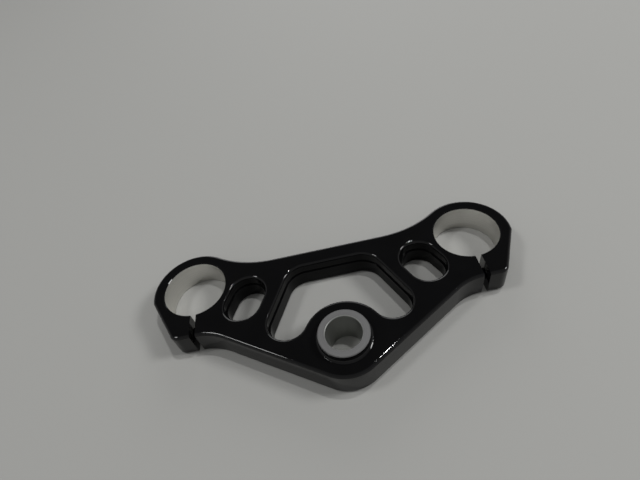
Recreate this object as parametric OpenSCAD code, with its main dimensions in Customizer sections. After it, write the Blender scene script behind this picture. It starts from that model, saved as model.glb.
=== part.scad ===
// Motorcycle top triple clamp, machined from one billet, in millimetres.
// The steering stem axis is the Z axis, the plate's top face lies on Z = 0 and the fork tubes stand
// on the +Y side. The part is symmetric about the YZ plane, so outlines are written for +X and mirrored.

/* [Fork tubes] */
// Distance between the two fork tube axes
fork_spacing = 216; // [206:1:232]
// Distance from the stem axis to the line through the fork tube axes
fork_offset = 68.2; // [64:0.1:73]
// Bore for the fork tube
fork_bore_d = 49; // [43:0.5:52]
// Wall of the clamp ring round the fork tube
fork_wall = 9.3; // [7:0.1:11]

/* [Steering stem] */
// Bore for the steering stem
stem_bore_d = 25.4; // [20:0.1:28]
// Outer diameter of the raised collar that the stem nut sits on
collar_d = 36; // [32:0.5:40]
// Height of the collar above the plate
collar_h = 6; // [3:0.5:10]
// Radius of the fillet at the foot of the collar
collar_fillet_r = 2.5; // [1:0.1:3]
// Radius of the round boss that carries the collar, measured from the stem axis
boss_r = 28.9; // [25:0.1:32]

/* [Plate] */
// Thickness of the plate
plate_t = 22.6; // [18:0.1:28]
// Radius on the outer edges, above and below
edge_r = 2.3; // [0.6:0.1:2.8]
// Angle of the two front edges to the X axis
vee_angle = 32; // [29:0.5:35]
// Distance from the stem axis to the straight back edge
back_y = 82.3; // [79:0.1:85]
// Radius of the hollow between the back edge and each fork ring
back_blend_r = 77; // [60:1:90]
// Straight run between a round arc and a hollow one
arc_link = 1.5; // [0.5:0.1:3]
// Distance from the stem axis to the flat front of the clamp lugs
lug_front_y = 25.3; // [22:0.1:29]
// Radius of the hollow between a front edge and its lug
front_blend_r = 40; // [25:1:50]
// Angle of the outer side of a lug to the X axis
lug_angle = 63.2; // [60:0.2:68]
// How far the flat outer side of a lug lies inside the fork ring's round
lug_inset = 1.3; // [0.6:0.1:2]
// Radius of the outer corner of a lug
lug_corner_r = 7; // [3:0.5:10]

/* [Window] */
// Bar left between the window and the back edge
back_bar = 14.5; // [10:0.1:16]
// Distance between the window's side walls, measured along its back wall
window_back_w = 63.2; // [58:0.2:68]
// Angle of the window's side walls to the X axis
window_side_angle = 64.8; // [62:0.2:68]
// Radius of the window's wall behind the boss, measured from the stem axis
window_boss_r = 30.3; // [29:0.1:32]
// Radius of the two back corners
window_corner_r = 17.5; // [10:0.5:20]
// Direction of the two lower lobes, seen from the stem axis
lobe_angle = 29.6; // [27:0.2:34]

/* [Lightening slots] */
// Width of each slot
slot_w = 26.4; // [24:0.2:30]
// Distance between the centres of a slot's two round ends
slot_travel = 9.8; // [4:0.2:11]
// Rib left between the window and each slot
slot_rib = 12.5; // [9:0.1:14]
// Bar left between each slot and the back edge
slot_back_bar = 15.2; // [12:0.1:17]

/* [Walls of the openings] */
// Width of the ledge round the walls of the window and the slots
ledge_w = 0.9; // [0.3:0.1:1.5]
// Depth of the ledge below the top face
ledge_depth = 9; // [6:0.5:14]
// Radius on the edges of the window and the slots, above and below
hole_edge_r = 2.3; // [0.6:0.1:2.6]

/* [Pinch slits] */
// Width of the slit from each fork bore to the front
slit_w = 4.3; // [2:0.1:5]
// Clearance hole for the pinch screw, through the lug
screw_clearance_d = 8.5; // [6.5:0.1:9]
// Recess for the screw's head
screw_head_d = 14; // [11:0.5:15]
// Tapping hole for the screw, beyond the slit
screw_tap_d = 6.8; // [5:0.1:7]
// Depth of the tapping hole from the slit
screw_tap_depth = 20; // [12:1:22]
// Lug left between the slit and the screw's head
screw_seat_t = 9; // [7:0.5:11]

/* [Edge breaks] */
// Chamfer at both ends of the bores
bore_chamfer = 0.5; // [0.2:0.1:1]

/* [Hidden] */
fork_x = fork_spacing / 2;
fork_ring_r = fork_bore_d / 2 + fork_wall;
lug_reach = fork_ring_r - lug_inset;
top_z = plate_t + collar_h;
// Cutters run this far past the faces that they cut
past = 2;
// Fillets cross the faces that they run into by this much
sink = 0.1;
// Arcs reach this far past the sides and arcs that they touch, so that the two cross
arc_reach = 0.005;
// A rounded edge bites this much deeper than its faces, and twice as much on arcs as on straight
// sides, so that two cutters share no surface where they overlap
edge_bite = 0.01;
// Cutters of neighbouring edges overlap by this much
edge_overlap = 0.05;
// Facets of every circle
round_fn = 120;
// Direction from the stem axis square to the window's right side wall
side_normal = 90 - window_side_angle;
side_reach = unit(side_normal) * [window_back_w / 2, back_y - back_bar];
// A lobe touches the side wall, and the link joins it to the boss, which settles its radius
lobe_cos = cos(lobe_angle - side_normal);
lobe_sum = side_reach + pow(lobe_cos, 2) * window_boss_r;
lobe_product = pow(side_reach, 2) - pow(lobe_cos, 2) * (pow(window_boss_r, 2) + pow(arc_link, 2));
lobe_r = lobe_product / (lobe_sum + sqrt(pow(lobe_sum, 2) - (1 - pow(lobe_cos, 2)) * lobe_product));
lobe_reach = (side_reach - lobe_r) / lobe_cos;
lobe_turn = lobe_angle + atan2(arc_link, window_boss_r + lobe_r);
// Centres of a slot's round ends
slot_r = slot_w / 2;
slot_back = slot_place(back_y - slot_back_bar - slot_r);
slot_front = slot_back - slot_travel * unit(180 - window_side_angle);
// The pinch screw crosses the slit half way between the bore and the lug's front
screw_y = (fork_offset - fork_bore_d / 2 + lug_front_y) / 2;

// Unit vector at an angle
function unit(a) = [cos(a), sin(a)];

// An arc is [centre, radius, first angle, last angle], and an outline is a list of arcs that run
// anticlockwise round it. Straight sides join one arc to the next. A hollow arc turns clockwise.
function hollow(arc) = arc[3] < arc[2];

// The arc's radius when the whole outline is moved outwards by grow
function arc_radius(arc, grow) = arc[1] + (hollow(arc) ? -grow : grow);
function arc_ends(arc, grow) = [for (a = [arc[2], arc[3]]) arc[0] + arc_radius(arc, grow) * unit(a)];

module disc(arc, grow) {
    translate(arc[0]) circle(r = arc_radius(arc, grow) + arc_reach, $fn = round_fn);
}

// The same arcs on the other side of the YZ plane, in the order that keeps them anticlockwise
function mirrored(arcs) =
    [for (i = [len(arcs) - 1:-1:0]) let (arc = arcs[i])
        [[-arc[0].x, arc[0].y], arc[1], 180 - arc[3], 180 - arc[2]]];

// Centre of a slot's end on the slot's middle line, at the given Y
function slot_place(y) =
    [(side_reach + slot_rib + slot_r - sin(side_normal) * y) / cos(side_normal), y];

// Arc from one front edge, hollow, into the flat front of a lug
function front_blend() =
    let (y = lug_front_y - front_blend_r,
         x = (boss_r + front_blend_r + cos(vee_angle) * y) / sin(vee_angle))
    [[x, y], front_blend_r, 90 + vee_angle, 90];

// Outer corner of a lug, between its flat front and the side that runs on to the fork ring
function lug_corner() =
    let (n = unit(lug_angle - 90),
         y = lug_front_y + lug_corner_r,
         x = (n * [fork_x, fork_offset] + lug_reach - lug_corner_r - n.y * y) / n.x)
    [[x, y], lug_corner_r, -90, lug_angle - 90];

// Centre of the hollow between the back edge and a fork ring, and the direction to it from the fork
function back_centre() =
    let (y = back_y + back_blend_r)
    [fork_x - sqrt(pow(back_blend_r + fork_ring_r, 2) + pow(arc_link, 2) - pow(y - fork_offset, 2)), y];
function back_direction() =
    let (to = back_centre() - [fork_x, fork_offset])
    atan2(to.y, to.x) - atan2(arc_link, back_blend_r + fork_ring_r);

function plate_side() = [
    front_blend(),
    lug_corner(),
    [[fork_x, fork_offset], fork_ring_r, lug_angle - 90 + acos(lug_reach / fork_ring_r), back_direction()],
    [back_centre(), back_blend_r, back_direction() - 180, -90],
];
function plate_outline() = concat(
    [[[0, 0], boss_r, -90 - vee_angle, vee_angle - 90]],
    plate_side(),
    mirrored(plate_side()));

function window_side() =
    let (corner_y = back_y - back_bar - window_corner_r)
    [
        [lobe_reach * unit(lobe_angle), lobe_r, lobe_turn - 180, side_normal],
        [[(side_reach - window_corner_r - sin(side_normal) * corner_y) / cos(side_normal), corner_y],
            window_corner_r, side_normal, 90],
    ];
function window_outline() = concat(
    window_side(),
    mirrored(window_side()),
    [[[0, 0], window_boss_r, 180 - lobe_turn, lobe_turn]]);

function slot_outline() = [
    [slot_back, slot_r, side_normal, side_normal + 180],
    [slot_front, slot_r, side_normal + 180, side_normal + 360],
];

// Flat outline of straight sides and true arcs, moved outwards by grow
module flat(arcs, grow = 0) {
    difference() {
        union() {
            polygon([for (arc = arcs) each arc_ends(arc, grow)]);
            for (arc = arcs) if (!hollow(arc)) disc(arc, grow);
        }
        for (arc = arcs) if (hollow(arc)) disc(arc, grow);
    }
}

module both_sides() {
    children();
    mirror([1, 0, 0]) children();
}

// What a rounded edge takes off a sharp one whose solid lies towards -X and -Y
module edge_waste(r, bite) {
    difference() {
        translate([-r, -r]) square(r + past);
        translate([bite - r, bite - r]) circle(r = r, $fn = round_fn);
    }
}

// Cutter that rounds the upper edge of a solid whose outline it follows, or of a hole in it
module edge_cutter(arcs, r, hole = false, grow = 0) {
    count = len(arcs);
    for (i = [0:count - 1]) {
        arc = arcs[i];
        inward = hollow(arc) == hole ? 0 : 1;
        translate(arc[0]) rotate([0, 0, min(arc[2], arc[3])])
            rotate_extrude(angle = abs(arc[3] - arc[2]), $fn = round_fn)
                translate([arc_radius(arc, grow), 0]) mirror([inward, 0]) edge_waste(r, 2 * edge_bite);
        next = arc_ends(arcs[(i + 1) % count], grow)[0];
        run = next - arc_ends(arc, grow)[1];
        if (norm(run) > edge_overlap)
            translate(next + edge_overlap * run / norm(run)) rotate([90, 0, atan2(run.y, run.x) - 90])
                linear_extrude(norm(run) + 2 * edge_overlap)
                    mirror([hole ? 1 : 0, 0]) edge_waste(r, edge_bite);
    }
}

// The same at both faces of the plate
module both_edges(arcs, r, hole = false, grow = 0) {
    translate([0, 0, plate_t]) edge_cutter(arcs, r, hole, grow);
    mirror([0, 0, 1]) edge_cutter(arcs, r, hole);
}

// Plate outline, with the fork ring's round cut back to the flat outer side of each lug
module plate_flat() {
    difference() {
        flat(plate_outline());
        both_sides() translate([fork_x, fork_offset]) rotate(lug_angle - 90)
            translate([lug_reach - arc_reach, -2 * fork_ring_r]) square([fork_ring_r, 4 * fork_ring_r]);
    }
}

// Opening through the plate, a little wider above the ledge
module opening(arcs) {
    translate([0, 0, -past]) linear_extrude(plate_t + 2 * past) flat(arcs);
    translate([0, 0, plate_t - ledge_depth]) linear_extrude(plate_t) flat(arcs, ledge_w);
    both_edges(arcs, hole_edge_r, true, ledge_w);
}

// Round bore along Z with a chamfer at both ends
module bore(d, height) {
    r = d / 2;
    translate([0, 0, -past]) cylinder(h = height + 2 * past, r = r, $fn = round_fn);
    for (end = [[0, 0], [height, 180]])
        translate([0, 0, end[0]]) rotate([end[1], 0, 0])
            translate([0, 0, -bore_chamfer])
                cylinder(h = 3 * bore_chamfer, r1 = r + 2 * bore_chamfer, r2 = r - bore_chamfer,
                    $fn = round_fn);
}

// Collar round the stem, with a chamfered rim and a fillet at its foot
module collar() {
    r = collar_d / 2;
    z = plate_t - collar_fillet_r;
    rim = bore_chamfer;
    rotate_extrude($fn = round_fn) {
        polygon([[0, z], [r, z], [r, top_z - rim], [r - rim, top_z], [0, top_z]]);
        difference() {
            translate([r - collar_fillet_r, z]) square([2 * collar_fillet_r, 2 * collar_fillet_r]);
            translate([r + collar_fillet_r - sink, plate_t + collar_fillet_r - sink])
                circle(r = collar_fillet_r, $fn = round_fn);
        }
    }
}

// Slit from the fork bore through the front of the lug
module pinch_slit() {
    translate([fork_x - slit_w / 2, lug_front_y - past, -past])
        cube([slit_w, fork_offset - lug_front_y, plate_t + 2 * past]);
}

// Stepped hole for the pinch screw: head recess and clearance through the lug, tapping size beyond
module pinch_screw_hole() {
    seat_x = fork_x + slit_w / 2 + screw_seat_t;
    translate([fork_x, screw_y, plate_t / 2]) rotate([0, 90, 0]) {
        cylinder(h = fork_ring_r, d = screw_clearance_d, $fn = round_fn);
        translate([0, 0, -slit_w / 2 - screw_tap_depth])
            cylinder(h = slit_w / 2 + screw_tap_depth, d = screw_tap_d, $fn = round_fn);
        translate([0, 0, seat_x - fork_x])
            cylinder(h = fork_ring_r, d = screw_head_d, $fn = round_fn);
    }
}

module triple_clamp() {
    color([0.07, 0.07, 0.08]) translate([0, 0, -plate_t]) difference() {
        union() {
            linear_extrude(plate_t) plate_flat();
            collar();
        }
        both_edges(plate_outline(), edge_r);
        opening(window_outline());
        both_sides() opening(slot_outline());
        bore(stem_bore_d, top_z);
        both_sides() {
            translate([fork_x, fork_offset, 0]) bore(fork_bore_d, plate_t);
            pinch_slit();
            pinch_screw_hole();
        }
    }
}

triple_clamp();
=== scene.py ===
import math

import bpy
from mathutils import Matrix, Vector


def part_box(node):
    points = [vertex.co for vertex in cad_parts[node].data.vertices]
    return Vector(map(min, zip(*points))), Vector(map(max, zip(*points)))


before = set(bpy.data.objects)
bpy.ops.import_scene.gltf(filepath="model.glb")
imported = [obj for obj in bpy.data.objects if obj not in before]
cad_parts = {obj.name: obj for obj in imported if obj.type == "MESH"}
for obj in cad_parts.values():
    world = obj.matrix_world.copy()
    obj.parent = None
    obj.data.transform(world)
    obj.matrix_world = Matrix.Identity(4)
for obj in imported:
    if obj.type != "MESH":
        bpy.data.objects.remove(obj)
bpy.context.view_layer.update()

MM = 0.001

# Camera, from the perspective of the photograph
CAMERA_PLACE = Vector((0.00515, -0.14669, 0.25978))
CAMERA_ELEVATION = math.radians(47.53)
CAMERA_AZIMUTH = math.radians(-2.27)
CAMERA_ROLL = math.radians(-13.71)
CAMERA_CLIP_START = 0.01
PHOTO_WIDTH_PX = 640
FOCAL_PX = 432.3
SENSOR_MM = 36.0

# Bores and collar of the clamp, as the part's source has them, in metres
FORK_X = 108 * MM
FORK_Y = 68.2 * MM
FORK_AXES = [Vector((side * FORK_X, FORK_Y)) for side in (-1, 1)]
FORK_BORE_R = 24.5 * MM
STEM_BORE_R = 12.7 * MM
COLLAR_R = 18 * MM
COLLAR_TOP = 6 * MM
BORE_CHAMFER = 0.5 * MM
NEAR = 0.1 * MM

# Least cosine between the normal of a bore's face and the way to the axis, with the stem bore's chamfer
FORK_WALL_INWARD = 0.9
STEM_WALL_INWARD = 0.5

# The walls of the window and slots lie inside these limits, to within a sliver, and no outer wall does;
# these walls get painted shade.
# VEE_REACH is measured at right angles to the V's sides. The collar lies within COLLAR_FOOT_R.
VEE_ANGLE = math.radians(32)
VEE_OUT = Vector((math.sin(VEE_ANGLE), -math.cos(VEE_ANGLE)))
VEE_REACH = 22 * MM
SIDE_REACH = 85 * MM
BACK_REACH = 71 * MM
COLLAR_FOOT_R = 22 * MM
WALL_MAX_NORMAL_Z = 0.4

# Material slots of the clamp, in the order of FINISHES
OUTSIDE, FORK_BORE, STEM_BORE, COLLAR_FACE, OPENINGS = range(5)

# Black finish, in linear tones. Its roughness rises by the spread where it is lightest.
BLACK_LOW = (0.0022, 0.0022, 0.0024, 1)
BLACK_HIGH = (0.0042, 0.0042, 0.0045, 1)
BLACK_ROUGHNESS_SPREAD = 0.04
BRUSHING_PER_METRE = (300, 4000, 300)

# Bare aluminium. Its tone runs from DARKEST times its colour up to the colour, with streaks and clouds.
DARKEST = 0.76
STREAK_SHARE = 0.7
CLOUD_SHARE = 0.4
BARE_ROUGHNESS_SPREAD = 0.05

# Lamps: name, direction from the clamp, distance, radius of the disc in metres, power in watts
LAMP_TARGET = Vector((0, 0.03, 0))
LAMPS = [
    ("overhead_lamp", (0.245, 0.162, 0.95), 3.0, 0.06, 19.0),
    ("left_softbox", (-0.5, 0.05, 0.84), 3.0, 0.28, 16.0),
    ("right_lamp", (0.74, -0.02, 0.67), 3.0, 0.4, 34.0),
    ("back_softbox", (0.1, 0.9, 0.3), 3.0, 1.0, 17.0),
]

# The room is pale near the floor, dim above, and darkest where the top face mirrors it
ROOM_COLOR = (1, 1, 1, 1)
HORIZON_STRENGTH = 0.46
HORIZON_FROM = 0.25
HORIZON_TO = 0.6
ROOM_STRENGTH = 0.3
DARK_STRENGTH = 0.05
DARK_TOWARDS = Vector((0, 0.66, 0.75)).normalized()
DARK_FROM = 0.55
DARK_TO = 0.9

FLOOR_COLOR = (0.37, 0.37, 0.355, 1)
FLOOR_ROUGHNESS = 0.8
FLOOR_HALF = 3.0


def make_camera():
    data = bpy.data.cameras.new("camera")
    data.sensor_width = SENSOR_MM
    data.lens = FOCAL_PX / PHOTO_WIDTH_PX * SENSOR_MM
    data.clip_start = CAMERA_CLIP_START
    cam = bpy.data.objects.new("camera", data)
    bpy.context.scene.collection.objects.link(cam)
    turn = Matrix.Rotation(-CAMERA_AZIMUTH, 4, "Z")
    tilt = Matrix.Rotation(math.pi / 2 - CAMERA_ELEVATION, 4, "X")
    roll = Matrix.Rotation(CAMERA_ROLL, 4, "Z")
    cam.matrix_world = Matrix.Translation(CAMERA_PLACE) @ turn @ tilt @ roll
    bpy.context.scene.camera = cam


def material(name):
    mat = bpy.data.materials.new(name)
    mat.use_nodes = True
    tree = mat.node_tree
    return mat, tree, tree.nodes["Principled BSDF"]


def node(tree, kind, **settings):
    made = tree.nodes.new(kind)
    for key, value in settings.items():
        setattr(made, key, value)
    return made


def object_place(tree):
    return node(tree, "ShaderNodeTexCoord").outputs["Object"]


def height_of(tree, vector):
    split = node(tree, "ShaderNodeSeparateXYZ")
    tree.links.new(vector, split.inputs["Vector"])
    return split.outputs["Z"]


def noise(tree, vector, scale, detail):
    made = node(tree, "ShaderNodeTexNoise")
    made.inputs["Scale"].default_value = scale
    made.inputs["Detail"].default_value = detail
    tree.links.new(vector, made.inputs["Vector"])
    return made.outputs["Fac"]


def spread(tree, value, low, high, start=0.3, end=0.7):
    """Maps start to end onto low to high. A noise lies mostly between 0.3 and 0.7."""
    made = node(tree, "ShaderNodeMapRange")
    made.inputs["From Min"].default_value = start
    made.inputs["From Max"].default_value = end
    made.inputs["To Min"].default_value = low
    made.inputs["To Max"].default_value = high
    tree.links.new(value, made.inputs["Value"])
    return made.outputs["Result"]


def stretched(tree, vector, scale):
    made = node(tree, "ShaderNodeMapping")
    made.inputs["Scale"].default_value = scale
    tree.links.new(vector, made.inputs["Vector"])
    return made.outputs["Vector"]


def math_node(tree, operation, *values):
    made = node(tree, "ShaderNodeMath", operation=operation)
    for socket, value in zip(made.inputs, values):
        if isinstance(value, (int, float)):
            socket.default_value = value
        else:
            tree.links.new(value, socket)
    return made.outputs["Value"]


def bump(tree, relief, strength, depth, under=None):
    """Normal that follows the relief, depth metres high, on top of the normal given as under."""
    made = node(tree, "ShaderNodeBump")
    made.inputs["Strength"].default_value = strength
    made.inputs["Distance"].default_value = depth
    tree.links.new(relief, made.inputs["Height"])
    if under:
        tree.links.new(under, made.inputs["Normal"])
    return made.outputs["Normal"]


def tone(tree, value, low, high):
    """Colour that runs between two close tones."""
    made = node(tree, "ShaderNodeMix", data_type="RGBA")
    made.inputs["A"].default_value = low
    made.inputs["B"].default_value = high
    tree.links.new(value, made.inputs["Factor"])
    return made.outputs["Result"]


def black_anodised(name, gloss, roughness):
    """Polished, then anodised: nearly even black, with faint waves, brushing and grain in its gloss."""
    mat, tree, shader = material(name)
    where = object_place(tree)
    cloud = noise(tree, where, scale=45, detail=5)
    black = tone(tree, cloud, BLACK_LOW, BLACK_HIGH)
    waves = noise(tree, where, scale=220, detail=2)
    brushing = noise(tree, stretched(tree, where, BRUSHING_PER_METRE), scale=1, detail=3)
    grain = noise(tree, where, scale=2600, detail=2)
    normal = bump(tree, waves, strength=0.4, depth=0.08 * MM)
    normal = bump(tree, brushing, strength=0.05, depth=0.02 * MM, under=normal)
    normal = bump(tree, grain, strength=0.05, depth=0.02 * MM, under=normal)
    shader.inputs["Specular IOR Level"].default_value = gloss
    tree.links.new(black, shader.inputs["Base Color"])
    rough = spread(tree, cloud, roughness, roughness + BLACK_ROUGHNESS_SPREAD)
    tree.links.new(rough, shader.inputs["Roughness"])
    tree.links.new(normal, shader.inputs["Normal"])
    return mat


def bare_aluminium(name, color, roughness, marks):
    """Machined aluminium. marks makes the relief of the tool marks from the place on the object."""
    mat, tree, shader = material(name)
    where = object_place(tree)
    cloud = noise(tree, where, scale=90, detail=4)
    relief = marks(tree, where)
    streaks = spread(tree, relief, 0, STREAK_SHARE)
    clouds_and_streaks = math_node(tree, "MULTIPLY_ADD", cloud, CLOUD_SHARE, streaks)
    darker = [DARKEST * channel for channel in color]
    metal = tone(tree, clouds_and_streaks, (*darker, 1), (*color, 1))
    grain = noise(tree, where, scale=1800, detail=3)
    normal = bump(tree, relief, strength=0.8, depth=0.05 * MM)
    normal = bump(tree, grain, strength=0.2, depth=0.02 * MM, under=normal)
    shader.inputs["Metallic"].default_value = 1
    tree.links.new(metal, shader.inputs["Base Color"])
    rough = spread(tree, cloud, roughness - BARE_ROUGHNESS_SPREAD, roughness + BARE_ROUGHNESS_SPREAD)
    tree.links.new(rough, shader.inputs["Roughness"])
    tree.links.new(normal, shader.inputs["Normal"])
    return mat


def tool_marks(tree, travel):
    """Fine lines of uneven depth, which follow each other along the tool's travel."""
    combine = node(tree, "ShaderNodeCombineXYZ")
    tree.links.new(travel, combine.inputs["X"])
    return noise(tree, combine.outputs["Vector"], scale=1400, detail=5)


def bored(tree, where):
    """Rings round a bore, one above the other."""
    return tool_marks(tree, height_of(tree, where))


def faced(tree, where):
    """Rings round the stem axis, one outside the other."""
    out = node(tree, "ShaderNodeVectorMath", operation="LENGTH")
    tree.links.new(stretched(tree, where, (1, 1, 0)), out.inputs[0])
    return tool_marks(tree, out.outputs["Value"])


def outside_finish():
    return black_anodised("black_anodised", gloss=0.28, roughness=0.02)


def fork_bore_finish():
    return bare_aluminium("fork_bore_aluminium", color=(0.78, 0.77, 0.73), roughness=0.36, marks=bored)


# Bare aluminium like the fork bores, but painted much darker: painted shade of the narrow, deep stem
# bore.
def stem_bore_finish_with_painted_shade():
    return bare_aluminium("stem_bore_aluminium_painted_shade", color=(0.42, 0.43, 0.41), roughness=0.42, marks=bored)


def collar_face_finish():
    return bare_aluminium("collar_face_aluminium", color=(0.2, 0.2, 0.2), roughness=0.6, marks=faced)


# A duller copy of the black finish, with less gloss, for the walls of the window and slots: painted
# shade, as the coat there is the same as outside.
def openings_finish_with_painted_shade():
    return black_anodised("black_anodised_openings_painted_shade", gloss=0.09, roughness=0.12)


FINISHES = [outside_finish, fork_bore_finish, stem_bore_finish_with_painted_shade, collar_face_finish, openings_finish_with_painted_shade]


def dress_clamp():
    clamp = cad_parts["triple_clamp"]
    clamp.data.materials.clear()
    for finish in FINISHES:
        clamp.data.materials.append(finish())
    for face in clamp.data.polygons:
        face.material_index = slot_of(clamp.matrix_world @ face.center, face.normal)


def slot_of(centre, normal):
    """Material slot of a face, from its centre and normal."""
    flat = centre.xy
    for axis in FORK_AXES:
        if is_bore_wall(flat - axis, normal.xy, FORK_BORE_R, FORK_WALL_INWARD):
            return FORK_BORE
    # The stem bore's wall takes the darker aluminium, which paints in its shade.
    if is_bore_wall(flat, normal.xy, STEM_BORE_R + BORE_CHAMFER, STEM_WALL_INWARD):
        return STEM_BORE
    if flat.length < COLLAR_R and centre.z > COLLAR_TOP - BORE_CHAMFER:
        return COLLAR_FACE
    # Walls of the window and slots take the duller copy of the black finish, which paints shade into
    # the openings.
    if abs(normal.z) < WALL_MAX_NORMAL_Z and is_in_openings(flat):
        return OPENINGS
    return OUTSIDE


def is_bore_wall(out, normal, radius, inward):
    """Whether a face, at out from a bore's axis, lies within the radius and looks towards the axis."""
    return out.length < radius + NEAR and out.normalized().dot(normal) < -inward


def is_in_openings(flat):
    """Whether a wall at this place belongs to the window or a slot."""
    side = Vector((abs(flat.x), flat.y))
    behind_vee = side.dot(VEE_OUT) < VEE_REACH
    return behind_vee and side.x < SIDE_REACH and side.y < BACK_REACH and flat.length > COLLAR_FOOT_R


def make_floor():
    mat, _, shader = material("floor")
    shader.inputs["Base Color"].default_value = FLOOR_COLOR
    shader.inputs["Roughness"].default_value = FLOOR_ROUGHNESS
    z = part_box("triple_clamp")[0].z
    corners = [(x * FLOOR_HALF, y * FLOOR_HALF, z) for x, y in ((-1, -1), (1, -1), (1, 1), (-1, 1))]
    mesh = bpy.data.meshes.new("floor")
    mesh.from_pydata(corners, [], [(0, 1, 2, 3)])
    mesh.materials.append(mat)
    obj = bpy.data.objects.new("floor", mesh)
    bpy.context.scene.collection.objects.link(obj)


def make_lamp(name, direction, distance, radius, power):
    data = bpy.data.lights.new(name, "AREA")
    data.shape = "DISK"
    data.size = 2 * radius
    data.energy = power
    lamp = bpy.data.objects.new(name, data)
    bpy.context.scene.collection.objects.link(lamp)
    lamp.location = LAMP_TARGET + distance * Vector(direction).normalized()
    lamp.rotation_euler = (LAMP_TARGET - lamp.location).to_track_quat("-Z", "Y").to_euler()


def make_world():
    world = bpy.data.worlds.new("world")
    bpy.context.scene.world = world
    world.use_nodes = True
    tree = world.node_tree
    direction = node(tree, "ShaderNodeTexCoord").outputs["Generated"]
    towards = node(tree, "ShaderNodeVectorMath", operation="DOT_PRODUCT")
    tree.links.new(direction, towards.inputs[0])
    towards.inputs[1].default_value = DARK_TOWARDS
    above = spread(tree, towards.outputs["Value"], ROOM_STRENGTH, DARK_STRENGTH, DARK_FROM, DARK_TO)
    height = height_of(tree, direction)
    low = spread(tree, height, HORIZON_STRENGTH, DARK_STRENGTH, HORIZON_FROM, HORIZON_TO)
    background = tree.nodes["Background"]
    background.inputs["Color"].default_value = ROOM_COLOR
    tree.links.new(math_node(tree, "MAXIMUM", above, low), background.inputs["Strength"])


make_camera()
make_world()
make_floor()
for lamp in LAMPS:
    make_lamp(*lamp)
dress_clamp()
bpy.context.scene.view_settings.view_transform = "Standard"
